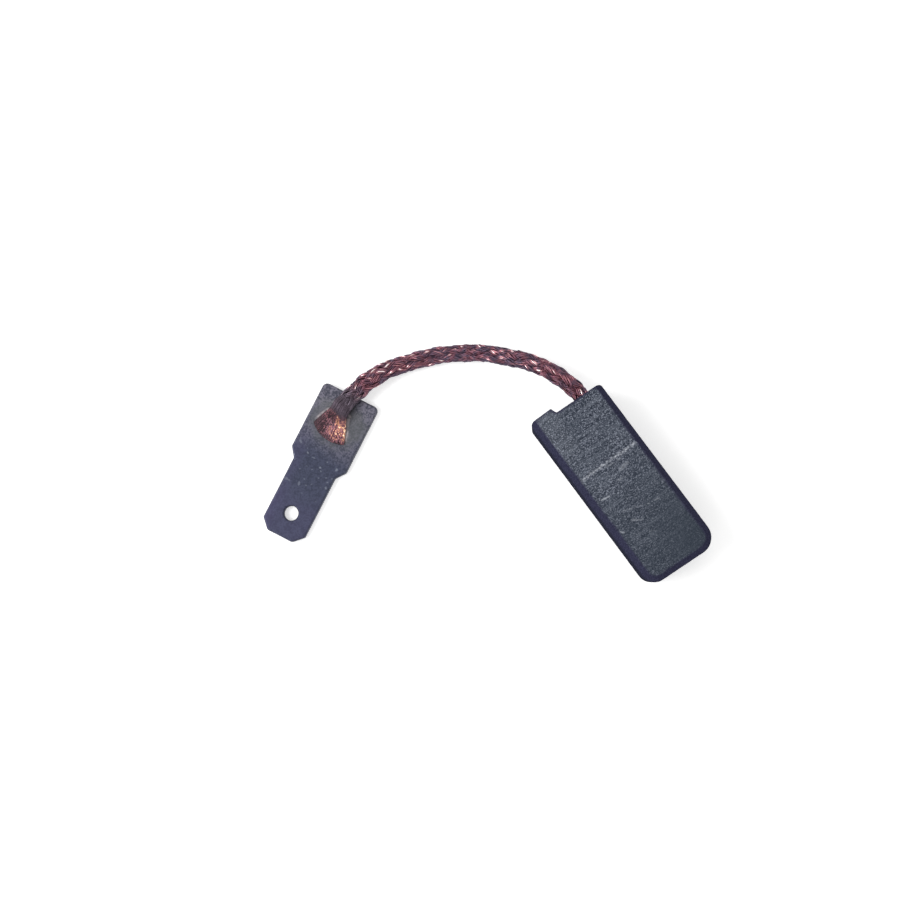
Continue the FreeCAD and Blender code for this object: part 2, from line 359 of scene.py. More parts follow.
def electrographite():
    """Electrographite, pressed in a die and ground on its wide faces.

    It is blue-black on the sides, partly its pressed skin and partly painted shade, and paler and
    speckled where it is ground.
    """
    material, tree, place = new_material("ground electrographite")
    ground, die_wall, worn, burnished = [
        add(tree, "Attribute", attribute_name=name).outputs["Fac"]
        for name in ("ground", "die_wall", "worn", "burnished")
    ]
    # Grinding across the block draws the grit out a little that way.
    drawn = add(tree, "VectorMath", {
        0: place, 1: (0.75, 1.0, 1.0),
    }, operation="MULTIPLY").outputs["Vector"]
    # Carbon grit of about 0.1 mm, coarser than the real 0.05 mm so that it shows.
    grit = add(tree, "TexNoise", {
        "Vector": drawn, "Scale": 9.8, "Detail": 1.3, "Roughness": 0.55,
    }).outputs["Fac"]
    # Pressing leaves clouds a few millimetres wide.
    cloud = add(tree, "TexNoise", {"Vector": place, "Scale": 0.45, "Detail": 3.0}).outputs["Fac"]
    # The wheel leaves streaks about 0.3 mm apart and a few millimetres long.
    combed = add(tree, "VectorMath", {
        0: place, 1: (0.3, 3.2, 1.0),
    }, operation="MULTIPLY").outputs["Vector"]
    streak = add(tree, "TexNoise", {"Vector": combed, "Scale": 1.0, "Detail": 2.0}).outputs["Fac"]
    # The die draws fainter lines along the block's sides, and across its ends, about 0.2 mm apart.
    lined = add(tree, "VectorMath", {
        0: place, 1: (2.0, 0.2, 5.5),
    }, operation="MULTIPLY").outputs["Vector"]
    die_line = add(tree, "TexNoise", {"Vector": lined, "Scale": 1.0, "Detail": 3.0}).outputs["Fac"]
    # Single flakes of graphite catch the light, one in each half millimetre or so.
    flake = add(tree, "TexVoronoi", {
        "Vector": place, "Scale": 2.3, "Randomness": 1.0,
    }).outputs["Distance"]
    flake = add(tree, "MapRange", {
        "Value": flake, "From Min": 0.08, "From Max": 0.22, "To Min": 0.5, "To Max": 0.0,
    }).outputs["Result"]
    grit_tone = add(tree, "MapRange", {
        "Value": grit, "From Min": 0.36, "From Max": 0.7,
    }).outputs["Result"]
    speckle = add(tree, "Math", {0: grit_tone, 1: 2.3}, operation="POWER").outputs[0]
    cloud_tone = add(tree, "MapRange", {
        "Value": cloud, "From Min": 0.35, "From Max": 0.65, "To Max": 0.3,
    }).outputs["Result"]
    streak_tone = add(tree, "MapRange", {
        "Value": streak, "From Min": 0.45, "From Max": 0.75, "To Max": 0.34,
    }).outputs["Result"]
    # The ground face: speckles first, then clouds, streaks, flakes and the burnish over them.
    face = srgb("#2c323d")
    for share, code in (
        (speckle, "#9398a6"), (cloud_tone, "#3f4651"), (streak_tone, "#7f8591"),
        (flake, "#a9aeb9"), (burnished, "#363d47"),
    ):
        face = add(tree, "Mix", {
            FACTOR: share, FIRST: face, SECOND: srgb(code),
        }, data_type="RGBA").outputs[MIXED]
    # The pressed skin, and the die's walls with their lines, both darkened in part by painted
    # shade.
    pressed = add(tree, "Mix", {
        FACTOR: grit_tone, FIRST: srgb("#2b2b3e"), SECOND: srgb("#3f4056"),
    }, data_type="RGBA").outputs[MIXED]
    wall_tone = add(tree, "Mix", {FACTOR: 0.6, 2: die_line, 3: grit}).outputs[0]
    wall_tone = add(tree, "MapRange", {
        "Value": wall_tone, "From Min": 0.4, "From Max": 0.6,
    }).outputs["Result"]
    wall = srgb("#1e1f2b")
    for share, code in ((wall_tone, "#353746"), (flake, "#4d5060")):
        wall = add(tree, "Mix", {
            FACTOR: share, FIRST: wall, SECOND: srgb(code),
        }, data_type="RGBA").outputs[MIXED]
    colour = pressed
    for share, over in ((die_wall, wall), (ground, face), (worn, srgb("#c3c7d0"))):
        colour = add(tree, "Mix", {
            FACTOR: share, FIRST: colour, SECOND: over,
        }, data_type="RGBA").outputs[MIXED]
    rough = add(tree, "MapRange", {
        "Value": grit, "From Min": 0.3, "From Max": 0.7, "To Min": 0.85, "To Max": 0.65,
    }).outputs["Result"]
    height = add(tree, "Math", {0: grit, 1: ground}, operation="MULTIPLY").outputs[0]
    bump = add(tree, "Bump", {
        "Strength": 0.5, "Distance": 0.02 * MM, "Height": height,
    }).outputs["Normal"]
    shader = add(tree, "BsdfPrincipled", {
        "Base Color": colour, "Roughness": rough, "Normal": bump, "Specular IOR Level": 0.0,
    }).outputs["BSDF"]
    add(tree, "OutputMaterial", {"Surface": shader})
    return material


def copper_wire():
    """Annealed copper wire, purplish brown with oxide.

    It carries painted shade on the flanks that face down, with grey oxide there, and painted glints
    of bright pink here and there.
    """
    material, tree, place = new_material("annealed copper wire")
    strand, proud, flank, rubbed, scorched = [
        add(tree, "Attribute", attribute_name=name).outputs["Fac"]
        for name in ("strand", "proud", "flank", "rubbed", "scorched")
    ]
    # Oxide lies in patches of about half a millimetre, and grey bloom in a little larger ones.
    oxide = add(tree, "TexNoise", {"Vector": place, "Scale": 1.8, "Detail": 2.0}).outputs["Fac"]
    bloom = add(tree, "TexNoise", {"Vector": place, "Scale": 1.5, "Detail": 3.0}).outputs["Fac"]
    tone = add(tree, "MapRange", {
        "Value": oxide, "From Min": 0.35, "From Max": 0.65, "To Min": -0.3, "To Max": 0.3,
    }).outputs["Result"]
    # Wires down in the gaps between crossing bundles get painted shade.
    tone = add(tree, "Math", {0: tone, 1: proud}, operation="ADD").outputs[0]
    tone = add(tree, "Math", {
        0: strand, 1: 0.9, 2: tone,
    }, operation="MULTIPLY_ADD", use_clamp=True).outputs[0]
    clean, dull, burnt = [
        add(tree, "Mix", {
            FACTOR: tone, FIRST: srgb(dark), SECOND: srgb(light),
        }, data_type="RGBA").outputs[MIXED]
        for dark, light in (("#643b46", "#855a66"), ("#4a3f50", "#5d5162"), ("#413a42", "#635964"))
    ]
    grey = add(tree, "MapRange", {
        "Value": bloom, "From Min": 0.42, "From Max": 0.58, "To Min": -0.3, "To Max": 0.55,
    }).outputs["Result"]
    # Painted shade on the flanks that face down, and the grey oxide, both take the duller colour.
    grey = add(tree, "Math", {0: grey, 1: flank}, operation="ADD", use_clamp=True).outputs[0]
    # A painted glint is red copper round its edge and nearly white in the middle.
    red = add(tree, "MapRange", {"Value": rubbed, "From Max": 0.5}).outputs["Result"]
    white = add(tree, "MapRange", {"Value": rubbed, "From Min": 0.4}).outputs["Result"]
    colour = clean
    for share, over in (
        (grey, dull), (red, srgb("#c2878d")), (white, srgb("#ffecec")), (scorched, burnt),
    ):
        colour = add(tree, "Mix", {
            FACTOR: share, FIRST: colour, SECOND: over,
        }, data_type="RGBA").outputs[MIXED]
    rough = add(tree, "MapRange", {
        "Value": rubbed, "To Min": 0.42, "To Max": 0.16,
    }).outputs["Result"]
    shader = add(tree, "BsdfPrincipled", {
        "Base Color": colour, "Metallic": 1.0, "Roughness": rough,
    }).outputs["BSDF"]
    add(tree, "OutputMaterial", {"Surface": shader})
    return material


def welded_copper():
    """Copper wires, pressed and resistance welded.

    They are orange where the electrode wiped them, scaled red-brown to the left and dark at
    the neck, with a painted highlight on the palest metal and painted shade along the cut.
    """
    material, tree, place = new_material("welded copper")
    strand, scorched, wiped = [
        add(tree, "Attribute", attribute_name=name).outputs["Fac"]
        for name in ("strand", "scorched", "wiped")
    ]
    # Weld scale breaks up in grains of about 0.15 mm, in patches of about 0.35 mm.
    scale = add(tree, "TexNoise", {"Vector": place, "Scale": 2.8, "Detail": 3.0}).outputs["Fac"]
    grains = add(tree, "TexNoise", {"Vector": place, "Scale": 6.2, "Detail": 1.0}).outputs["Fac"]
    patch = add(tree, "MapRange", {
        "Value": scale, "From Min": 0.35, "From Max": 0.65, "To Min": -0.35, "To Max": 0.3,
    }).outputs["Result"]
    sparkle = add(tree, "MapRange", {
        "Value": grains, "From Min": 0.38, "From Max": 0.66, "To Min": -0.42, "To Max": 0.4,
    }).outputs["Result"]
    tone = add(tree, "Math", {0: patch, 1: strand}, operation="ADD").outputs[0]
    tone = add(tree, "Math", {0: tone, 1: sparkle}, operation="ADD").outputs[0]
    bright = add(tree, "Math", {0: wiped, 1: tone}, operation="ADD").outputs[0]
    # Scale is dark brown, then wine red where it is thin, then orange metal, and palest, a
    # painted highlight on the burnished metal, at the top.
    thin, bare, shine = [
        add(tree, "MapRange", {
            "Value": bright, "From Min": low, "From Max": high,
        }).outputs["Result"]
        for low, high in ((-0.2, 0.4), (0.55, 0.95), (0.95, 1.35))
    ]
    burnt = add(tree, "Mix", {
        FACTOR: grains, FIRST: srgb("#423a42"), SECOND: srgb("#635863"),
    }, data_type="RGBA").outputs[MIXED]
    colour = srgb("#4a3a40")
    for share, over in (
        (thin, srgb("#8f636b")), (bare, srgb("#d49877")), (shine, srgb("#ffdfc0")),
        (scorched, burnt),
    ):
        colour = add(tree, "Mix", {
            FACTOR: share, FIRST: colour, SECOND: over,
        }, data_type="RGBA").outputs[MIXED]
    rough = add(tree, "MapRange", {
        "Value": bare, "To Min": 0.55, "To Max": 0.32,
    }).outputs["Result"]
    shader = add(tree, "BsdfPrincipled", {
        "Base Color": colour, "Metallic": 1.0, "Roughness": rough,
    }).outputs["BSDF"]
    add(tree, "OutputMaterial", {"Surface": shader})
    return material


def tinned_brass():
    """Stamped brass with a dull tin plating.

    It is mottled grey, greener and paler on the plate than on the blade.
    """
    material, tree, place = new_material("tinned brass")
    plate, tint, worn, stain, rim = [
        add(tree, "Attribute", attribute_name=name).outputs["Fac"]
        for name in ("plate", "tint", "worn", "stain", "rim")
    ]
    # Tin crystals mottle the plating in patches of about 0.6 mm, with a grain of about 0.2 mm
    # in them.
    mottle = add(tree, "TexNoise", {
        "Vector": place, "Scale": 1.6, "Detail": 3.0, "Roughness": 0.6,
    }).outputs["Fac"]
    grain_tone = add(tree, "TexNoise", {
        "Vector": place, "Scale": 5.5, "Detail": 1.5,
    }).outputs["Fac"]
    tone = add(tree, "Mix", {FACTOR: 0.65, 2: mottle, 3: grain_tone}).outputs[0]
    tone = add(tree, "MapRange", {
        "Value": tone, "From Min": 0.42, "From Max": 0.58,
    }).outputs["Result"]
    blade_colour, plate_colour = [
        add(tree, "Mix", {
            FACTOR: tone, FIRST: srgb(dark), SECOND: srgb(light),
        }, data_type="RGBA").outputs[MIXED]
        for dark, light in (("#2d3142", "#3b3f52"), ("#3c3d49", "#6e6b78"))
    ]
    colour = blade_colour
    for share, over in (
        (tint, srgb("#4f426b")), (plate, plate_colour), (stain, srgb("#5a5c5b")),
        (rim, srgb("#a59c9f")), (worn, srgb("#7d828f")),
    ):
        colour = add(tree, "Mix", {
            FACTOR: share, FIRST: colour, SECOND: over,
        }, data_type="RGBA").outputs[MIXED]
    rough = add(tree, "MapRange", {
        "Value": grain_tone, "From Min": 0.3, "From Max": 0.7, "To Min": 0.42, "To Max": 0.58,
    }).outputs["Result"]
    bump = add(tree, "Bump", {
        "Strength": 0.35, "Distance": 0.01 * MM, "Height": grain_tone,
    }).outputs["Normal"]
    shader = add(tree, "BsdfPrincipled", {
        "Base Color": colour, "Metallic": 0.7, "Roughness": rough, "Normal": bump,
    }).outputs["BSDF"]
    add(tree, "OutputMaterial", {"Surface": shader})
    return material


def copper_powder():
    """Copper powder tamped round the braid: dull, grainy and brown."""
    material, tree, place = new_material("tamped copper powder")
    # The powder's grains are about 0.07 mm wide.
    grains = add(tree, "TexVoronoi", {"Vector": place, "Scale": 14.0}).outputs["Distance"]
    tone = add(tree, "MapRange", {
        "Value": grains, "From Min": 0.0, "From Max": 0.6, "To Min": 1.0, "To Max": 0.0,
    }).outputs["Result"]
    colour = add(tree, "Mix", {
        FACTOR: tone, FIRST: srgb("#4a2c28"), SECOND: srgb("#a8674f"),
    }, data_type="RGBA").outputs[MIXED]
    bump = add(tree, "Bump", {
        "Strength": 0.8, "Distance": 0.02 * MM, "Height": tone,
    }).outputs["Normal"]
    shader = add(tree, "BsdfPrincipled", {
        "Base Color": colour, "Metallic": 0.8, "Roughness": 0.6, "Normal": bump,
    }).outputs["BSDF"]
    add(tree, "OutputMaterial", {"Surface": shader})
    return material


def white_to_the_eye(tree, shader, strength):
    """Adds light that only the camera, gloss and glass see.

    The surround looks white that way and keeps its shadows.
    """
    path = add(tree, "LightPath").outputs
    seen = add(tree, "Math", {
        0: path["Is Camera Ray"], 1: path["Is Glossy Ray"],
    }, operation="MAXIMUM").outputs[0]
    seen = add(tree, "Math", {
        0: seen, 1: path["Is Transmission Ray"],
    }, operation="MAXIMUM").outputs[0]
    power = add(tree, "Math", {0: seen, 1: strength}, operation="MULTIPLY").outputs[0]
    glow = add(tree, "Emission", {"Strength": power}).outputs[0]
    return add(tree, "AddShader", {0: shader, 1: glow}).outputs[0]


def braid_axis():
    """The braid's centreline, read from one smooth NURBS curve through the route, in metres."""
    curve = bpy.data.curves.new("braid_axis", "CURVE")
    curve.dimensions = "3D"
    curve.resolution_u = 48
    spline = curve.splines.new("NURBS")
    spline.points.add(len(braid_route) - 1)
    for point, place in zip(spline.points, braid_route):
        point.co = (*place, 1.0)
    spline.order_u = 3
    spline.use_endpoint_u = True
    holder = bpy.data.objects.new("braid_axis", curve)
    bpy.context.collection.objects.link(holder)
    mesh = bpy.data.meshes.new_from_object(holder)
    points = np.array([tuple(v.co) for v in mesh.vertices])
    bpy.data.objects.remove(holder)
    return points


def axis_frame(axis):
    """Distance along the braid of each point of its axis, and two untwisted directions across."""
    steps = np.linalg.norm(np.diff(axis, axis=0), axis=1)
    reach = np.concatenate([[0.0], np.cumsum(steps)])
    tangent = np.gradient(axis, reach, axis=0)
    tangent /= np.linalg.norm(tangent, axis=1, keepdims=True)
    up = np.zeros_like(axis)
    direction = np.array([0.0, 0.0, 1.0])
    for i, t in enumerate(tangent):
        direction = direction - (direction @ t) * t
        direction /= np.linalg.norm(direction)
        up[i] = direction
    return reach, up, np.cross(tangent, up)


def at_reach(reach, values, s):
    """Values of the braid's axis at the distances s along it."""
    return np.stack([np.interp(s, reach, values[:, i]) for i in range(3)], -1)


def near_weld(s, length, reach):
    """How far an effect of the weld has set in, at the distances s along the braid."""
    start, full = reach
    return smooth_step(length - start, length - full, s)


def on_top(out):
    """1 for wires that face up, towards the light, and 0 for those that face down: it sets the
    painted glints and the painted shade on the flanks.
    """
    return smooth_step(-0.15, 0.7, out[..., 2])


def woven_wires(s, length, centre, up, side):
    """Paths, outward directions, radii and marks of the wires in the twelve bundles."""
    step = lead / (2 * bundles_each_way)
    slope = math.atan(2 * math.pi * bundle_radius / lead)
    turn_across = math.sin(slope) * 2 * math.pi / lead + math.cos(slope) / bundle_radius
    half_bundle = (upper_wires - 1) / 2 * wire_pitch
    loose = 1 - 0.55 * near_weld(s, length, tighten_reach)
    swell = 1 + swell_share * near_weld(s, length, swell_reach)
    # Grey oxide lies over the middle of the braid, and the painted glints are fewest there.
    oxide = 0.1 + 0.35 * smooth_step(9.5, 14.0, s) - 0.3 * smooth_step(20.0, 24.0, s)
    handled = 1.25 - 0.45 * smooth_step(10.5, 13.5, s) + 0.8 * smooth_step(20.5, 23.0, s)
    crests = int(length / (2 * step)) + 3
    paths, outs, radii = [], [], []
    marks = {"strand": [], "proud": [], "flank": [], "rubbed": []}
    # Each wire's place across its bundle, and its layer: 1 for the upper one.
    wires = [
        ((i - (count - 1) / 2) * wire_pitch, layer)
        for count, layer in ((upper_wires, 1), (under_wires, -1)) for i in range(count)
    ]
    for way in (1, -1):
        for bundle in range(bundles_each_way):
            slack = 1 + 0.06 * wander(s, 0.5, 0.9)
            drift = 0.09 * wander(s, 0.35, 0.8)
            # Many crests carry a painted glint in one place, about 0.1 mm wide and 0.3 mm long.
            glow = np.clip(rng.normal(0.85, 0.85, crests), 0, 1.9)
            glow_across = rng.uniform(-0.2, 0.2, crests)
            glow_along = rng.uniform(-0.4, 0.4, crests)
            glow_width = rng.uniform(0.05, 0.1, crests)
            glow_length = rng.uniform(0.1, 0.28, crests)
            for place, layer in wires:
                w = place + 0.045 * wander(s, 1.5, 3.5)
                turn = way * 2 * math.pi * s / lead + w * turn_across
                turn = turn + bundle * 2 * math.pi / bundles_each_way + drift
                over = s + way * w / (2 * math.sin(slope)) - (0 if way > 0 else step)
                weave = np.sin(math.pi / 2 * np.cos(math.pi * over / step)) * loose
                crest = np.clip(np.round(over / (2 * step)).astype(int) + 1, 0, crests - 1)
                radius = bundle_radius * slack + bundle_swing * weave + layer * wire_layer
                radius = radius - bundle_crown * (w / half_bundle) ** 2
                radius = radius + 0.024 * wander(s, 2, 5)
                out = np.cos(turn)[:, None] * up + np.sin(turn)[:, None] * side
                spread = np.cos(turn)[:, None] * up + (swell * np.sin(turn))[:, None] * side
                paths.append(centre + radius[:, None] * spread)
                outs.append(out)
                radii.append(wire_radius * rng.uniform(0.9, 1.08))
                above = on_top(out)
                lit = 0.15 + 0.85 * above
                aside = (w - glow_across[crest]) / glow_width[crest]
                past = (over - (crest - 1) * 2 * step - glow_along[crest]) / glow_length[crest]
                glint = handled * glow[crest] * np.exp(-aside ** 2 - past ** 2) * lit
                # Short painted sparkles on the crests that face up as well.
                spark = wander(s, 4, 7) * wander(s, 1.5, 3)
                spark = smooth_step(0.45, 0.85, spark) * smooth_step(-0.2, 0.6, weave) * lit
                glint = glint * rng.uniform(0.7, 1.3) + 0.45 * spark * rng.uniform(0, 1)
                # Wires in the gaps, and more so the under layer, are painted darker as shade.
                proud = smooth_step(-1.2, 0.75, weave)
                marks["rubbed"].append(np.clip(glint, 0, 1) * (1.0 if layer > 0 else 0.5))
                marks["proud"].append(proud * (1.0 if layer > 0 else 0.8))
                # Wires that face down get painted shade, over the grey oxide of the middle.
                marks["flank"].append(0.85 * (1 - above) + oxide)
                marks["strand"].append(np.full(len(s), rng.uniform(-0.35, 0.35)))
    return np.array(paths), np.array(outs), np.array(radii)[:, None], marks


def fine_wires(axis, reach, up, side):
    """Points, faces and marks of the wires that stray out of the braid or lie loose on it."""
    length = reach[-1]
    t = np.linspace(0, 1, hair_samples)
    paths, outs, places, glints = [], [], [], []
    for hair in range(stray_wires + loose_wires):
        begin = rng.uniform(bore_length + 0.8, length - 3.5)
        here = begin + rng.uniform(1.2, 3.6) * t
        way = rng.choice([-1, 1])
        turn = rng.uniform(0, 2 * math.pi)
        turn = turn + way * 2 * math.pi * (here - begin) / lead * rng.uniform(0.1, 1.1)
        if hair < stray_wires:
            lift = bundle_radius + 0.08 + rng.uniform(0.05, 0.22) * t ** 1.6
        else:
            lift = bundle_radius - 0.1 + rng.uniform(0.2, 0.27) * np.sin(math.pi * t) ** 0.5
        glints.append(0.6 * smooth_step(0.85, 1.0, wander(t, 3, 7)) * rng.uniform(0, 1))
        out = np.cos(turn)[:, None] * at_reach(reach, up, here)
        out = out + np.sin(turn)[:, None] * at_reach(reach, side, here)
        path = at_reach(reach, axis, here) + lift[:, None] * out
        path[:, 2] = np.maximum(path[:, 2], hair_lowest)
        paths.append(path)
        outs.append(out)
        places.append(here)
    outs = np.array(outs)
    above = on_top(outs)
    return strands(
        paths, outs, hair_radius, hair_radius, hair_sides,
        strand=rng.uniform(-0.3, 0.2, len(paths))[:, None], proud=0.5,
        flank=0.85 * (1 - above) + 0.1, rubbed=np.array(glints) * above,
        scorched=near_weld(places, length, scorch_reach),
    )


def shunt_braid(axis_points, material):
    """Braid of twelve flat bundles of wire round a loose core, tightening into the weld."""
    axis = axis_points / MM
    reach, up, side = axis_frame(axis)
    length = reach[-1]
    s = np.concatenate([
        np.linspace(0, bore_length, bore_samples, endpoint=False),
        np.linspace(bore_length, length, free_samples),
    ])
    centre, up_here, side_here = [at_reach(reach, values, s) for values in (axis, up, side)]
    paths, outs, radii, marks = woven_wires(s, length, centre, up_here, side_here)
    # The lowest wires lie on the tab and on the table.
    along_tab = in_tab_frame(paths.reshape(-1, 3))[1].reshape(paths.shape[:2])
    rest = np.where(along_tab < plate_end, tab_thickness, 0.0) + wire_radius
    paths[..., 2] = np.maximum(paths[..., 2], rest)
    scorched = near_weld(s, length, scorch_reach)
    woven = strands(paths, outs, radii, radii, wire_sides, **marks, scorched=scorched)
    core = strands(
        centre[None], up_here[None], core_radius, core_radius, core_sides,
        strand=0.0, proud=0.8, flank=0.4, rubbed=0.0, scorched=scorched,
    )
    points, faces, marks = joined(woven, core, fine_wires(axis, reach, up, side))
    piece = new_piece("braided_shunt", points, faces, material, "copper_braid", "shunt_braid")
    paint(piece, **marks)
    return piece


def fan_surface(share, turn):
    """Point on the pressed braid end, across and along the tab and above the table, in mm.

    The share runs from neck to cut, and the turn round the section from its right side over
    the top. The section is round at the neck, and flat with a low crown at the cut.
    """
    share, turn = np.broadcast_arrays(np.asarray(share, float), np.asarray(turn, float))
    back = np.minimum(share, 0)
    share = np.maximum(share, 0)
    ease = share * share * (3 - 2 * share)
    press = np.minimum(1.0, share * 1.6)
    press = press * (2 - press)
    neck_width = 2 * neck_radius
    half = (neck_width + (fan_width - neck_width) * (0.35 * ease + 0.65 * share)) / 2
    thick = neck_width + (fan_thickness - neck_width) * press
    c, d = np.cos(turn), np.sin(turn)
    square = 1 - fan_squareness * press
    flat_x = half * np.sign(c) * np.abs(c) ** square
    crown = 1 - fan_crown * np.clip(flat_x / half, -1, 1) ** 2
    upper_z = thick * (fan_belly + (1 - fan_belly) * np.abs(d) ** (square * 1.2)) * crown
    flat_z = np.where(d > 0, upper_z, thick * fan_belly * (1 + d) - 0.03)
    round_x = neck_spread * neck_radius * c * (1 + back)
    round_z = neck_radius + neck_lift + neck_radius * d * (1 + back)
    blend = smooth_step(0.0, 0.45, share)
    x = round_x + (flat_x - round_x) * blend
    z = round_z + (flat_z - round_z) * blend
    swing = neck_swing * (1 - share)
    across = neck_across + fan_drift * share + x * np.cos(swing)
    across = across - back * fan_length * math.sin(neck_swing)
    along = neck_along - fan_length * share - x * np.sin(swing)
    along = along - back * fan_length * math.cos(neck_swing)
    return across, along, tab_thickness + np.maximum(z, -fan_sunk)


def cut_share(turn):
    """How far along the fan the shear cuts each side line."""
    shares = np.linspace(0.5, 1.0, 60)
    across, along, _ = fan_surface(shares[None], np.asarray(turn)[:, None])
    far = np.hypot(across - shear_across, along - shear_along)
    return np.array([np.interp(shear_radius, row, shares) for row in far])


def fan_body():
    """Points, faces and marks of the solid body under the fan's wires."""
    sides = fan_body_sides
    turns = np.linspace(0, 2 * math.pi, sides, endpoint=False)
    shares = np.linspace(0, 1, fan_body_steps)
    across, along, z = fan_surface(cut_share(turns) * shares[:, None], turns)
    points = tab_point(across, along, z - fan_body_inset).reshape(-1, 3)
    here = np.arange(sides)
    after = (here + 1) % sides
    start = (np.arange(fan_body_steps - 1) * sides)[:, None]
    quads = np.stack([start + here, start + here + sides, start + after + sides, start + after], -1)
    faces = [tuple(quad) for quad in quads.reshape(-1, 4).tolist()]
    faces.append(tuple(range(sides)))
    faces.append(tuple(reversed(range(len(points) - sides, len(points)))))
    marks = {
        "strand": np.full(len(points), -0.3),
        "share": np.repeat(shares, sides),
        "sideways": np.tile(np.cos(turns), fan_body_steps),
    }
    return points, faces, marks


def fan_of_wires():
    """Points, faces and marks of the wires that flow out of the neck to the cut."""
    paths, outs, wide, tones, shares, sideways = [], [], [], [], [], []
    for i in range(fan_wires):
        turn = math.radians(fan_wires_from + fan_wires_sweep * (i + 0.5) / fan_wires)
        turn = turn + 0.05 * rng.normal()
        bend = np.linspace(0, rng.uniform(2, 6), fan_wire_samples)
        turn = turn + 0.05 * np.sin(bend + rng.uniform(0, 6.3))
        end = cut_share(np.array([turn[-1]]))[0] * rng.uniform(0.965, 1.0)
        t = np.linspace(-0.3, end, fan_wire_samples)
        path = tab_point(*fan_surface(t, turn))
        beside = tab_point(*fan_surface(t, turn + 0.02)) - path
        out = np.cross(beside, np.gradient(path, axis=0))
        out /= np.linalg.norm(out, axis=1, keepdims=True)
        out *= np.where(out[:, 2:] < -0.3, -1, 1)
        lift = rng.uniform(-0.035, 0.012) + 0.012 * np.sin(t * rng.uniform(8, 20))
        paths.append(path + lift[:, None] * out)
        outs.append(out)
        wide.append(0.06 + 0.035 * smooth_step(0.25, 0.9, t) * rng.uniform(0.6, 1.3))
        tones.append([rng.uniform(-0.07, 0.07)])
        shares.append(t / end)
        sideways.append(np.cos(turn))
    return strands(
        paths, np.array(outs), wide, fan_wire_height, fan_wire_sides,
        strand=tones, share=shares, sideways=sideways,
    )


def welded_end(material):
    """The braid's end pressed and welded into a fan that is sheared to a curved edge."""
    points, faces, marks = joined(fan_body(), fan_of_wires())
    points[:, 2] = np.maximum(points[:, 2], tab_thickness - fan_sunk)
    share = marks["share"]
    rough = grain(points, 0.9, 2, 3.0)
    scorched = 1 - smooth_step(0.22, 0.4, share + 0.08 * rough)
    # The electrode wiped the right of the fan, and more of its width towards the cut.
    sideways = np.sign(marks["sideways"]) * np.abs(marks["sideways"]) ** 0.55
    wiped_from = 0.06 - 0.9 * (share - 0.48)
    wiped = smooth_step(0.26, 0.42, share + 0.1 * rough)
    wiped = wiped * smooth_step(-0.2, 0.15, sideways - wiped_from + 0.15 * rough)
    # Painted shade darkens the fan along the cut, most on its left.
    wiped = 0.76 * wiped * (1 - 0.75 * smooth_step(0.84, 1.0, share))
    wiped = wiped - 0.35 * smooth_step(0.7, 0.95, share) * (1 - smooth_step(-0.4, 0.2, sideways))
    piece = new_piece("fanned_weld", points, faces, material, "welded_copper", "welded_end")
    paint(piece, strand=marks["strand"], scorched=scorched, wiped=wiped)
    return piece


def segment_distance(x, y, start, end):
    """Distance of points from a straight scratch, in mm."""
    ax, ay = start
    bx, by = end
    length2 = (bx - ax) ** 2 + (by - ay) ** 2
    t = np.clip(((x - ax) * (bx - ax) + (y - ay) * (by - ay)) / length2, 0, 1)
    return np.hypot(x - ax - t * (bx - ax), y - ay - t * (by - ay))


